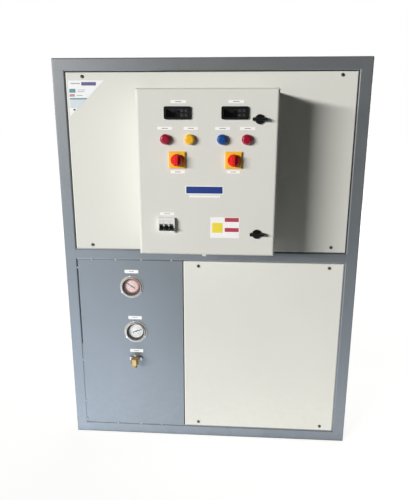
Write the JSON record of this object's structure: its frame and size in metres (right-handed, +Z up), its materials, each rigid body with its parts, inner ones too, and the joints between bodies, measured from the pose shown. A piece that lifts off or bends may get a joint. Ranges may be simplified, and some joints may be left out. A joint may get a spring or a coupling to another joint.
{
  "type": "air cooled water chiller",
  "caption": "Upright packaged water chiller: grey tube frame with cream sheet panels, a hinged control box on the front, panel gauges, a drain cock, a rear coil and a top fan.",
  "frame": {"origin": "underside of the base frame at the middle of the cabinet's footprint, on the floor", "axes": "+Z up, front with the control box towards -Y, +X to the right as seen from the front"},
  "size_m": [0.996, 1.011, 1.345],
  "materials": {
    "frame_paint": "grey powder coat",
    "panel_paint": "cream powder coat",
    "inner_steel": "dark primer",
    "galvanised": "galvanised sheet",
    "coil_aluminium": "bare fins",
    "guard_black": "black powder coat",
    "fan_grey": "dark grey enamel",
    "gasket_rubber": "foam rubber",
    "black_plastic": "fine moulded texture",
    "bezel_grey": "moulded",
    "lamp_red": "clear moulded lens",
    "lamp_yellow": "clear moulded lens",
    "lamp_blue": "clear moulded lens",
    "switch_yellow": "moulded",
    "knob_red": "moulded",
    "breaker_white": "moulded",
    "gauge_steel": "polished stainless",
    "dial_white": "printed",
    "pointer_black": "black",
    "gauge_glass": "clear",
    "drain_brass": "bright drawn"
  },
  "bodies": {
    "root": {"base_long_rails": "frame_paint", "base_side_rails": "frame_paint", "base_cross_rail": "frame_paint", "corner_posts": "frame_paint", "mid_long_rails": "frame_paint", "mid_side_rails": "frame_paint", "top_long_rails": "frame_paint", "top_side_rails": "frame_paint", "gauge_plate": "frame_paint", "fan_ring": "frame_paint", "upper_front_panel": "panel_paint", "lower_front_panel": "panel_paint", "left_panels": "panel_paint", "right_panels": "panel_paint", "rear_panel": "panel_paint", "top_panel": "panel_paint", "control_box": "panel_paint", "panel_strips": "inner_steel", "seam_bar": "inner_steel", "box_hinges": "inner_steel", "base_pan": "galvanised", "plenum_floor": "galvanised", "mounting_plate": "galvanised", "water_sockets": "galvanised", "condenser_coil": "coil_aluminium", "fan_guard": "guard_black", "fan_motor": "guard_black", "fan_rotor": "fan_grey", "box_gasket": "gasket_rubber", "gauge_cases": "gauge_steel", "gauge_dials": "dial_white", "gauge_lenses": "gauge_glass", "drain_cock": "drain_brass"},
    "control_door": {"control_door": "panel_paint", "door_hinges": "inner_steel", "controllers": "black_plastic", "lamp_bezels": "bezel_grey", "red_lenses": "lamp_red", "yellow_lens": "lamp_yellow", "blue_lens": "lamp_blue", "switch_plates": "switch_yellow", "breaker": "breaker_white"},
    "upper_latch": {"upper_latch": "black_plastic"},
    "lower_latch": {"lower_latch": "black_plastic"},
    "left_knob": {"left_knob": "knob_red"},
    "right_knob": {"right_knob": "knob_red"},
    "breaker_toggle": {"breaker_toggle": "black_plastic"},
    "upper_pointer": {"upper_pointer": "pointer_black"},
    "lower_pointer": {"lower_pointer": "pointer_black"}
  },
  "joints": [
    {"name": "door_swing", "type": "hinge", "parent": "root", "child": "control_door", "pos_m": [-0.195, -0.5515, 0.9965], "axis": [0, 0, -1], "range_deg": [0, 110]},
    {"name": "upper_latch_turn", "type": "hinge", "parent": "control_door", "child": "upper_latch", "pos_m": [0.1515, -0.575, 1.151], "axis": [0, -1, 0], "range_deg": [0, 90]},
    {"name": "lower_latch_turn", "type": "hinge", "parent": "control_door", "child": "lower_latch", "pos_m": [0.1515, -0.575, 0.826], "axis": [0, -1, 0], "range_deg": [0, 90]},
    {"name": "left_switch_turn", "type": "hinge", "parent": "control_door", "child": "left_knob", "pos_m": [-0.079, -0.575, 1.039], "axis": [0, 1, 0], "range_deg": [0, 90]},
    {"name": "right_switch_turn", "type": "hinge", "parent": "control_door", "child": "right_knob", "pos_m": [0.081, -0.575, 1.039], "axis": [0, 1, 0], "range_deg": [0, 90]},
    {"name": "breaker_throw", "type": "hinge", "parent": "control_door", "child": "breaker_toggle", "pos_m": [-0.112, -0.584, 0.845], "axis": [-1, 0, 0], "range_deg": [0, 60]},
    {"name": "upper_pointer_turn", "type": "hinge", "parent": "root", "child": "upper_pointer", "pos_m": [-0.269, -0.3715, 0.584], "axis": [0, 1, 0], "range_deg": [-77, 193]},
    {"name": "lower_pointer_turn", "type": "hinge", "parent": "root", "child": "lower_pointer", "pos_m": [-0.26, -0.3715, 0.415], "axis": [0, 1, 0], "range_deg": [-203, 67]}
  ]
}
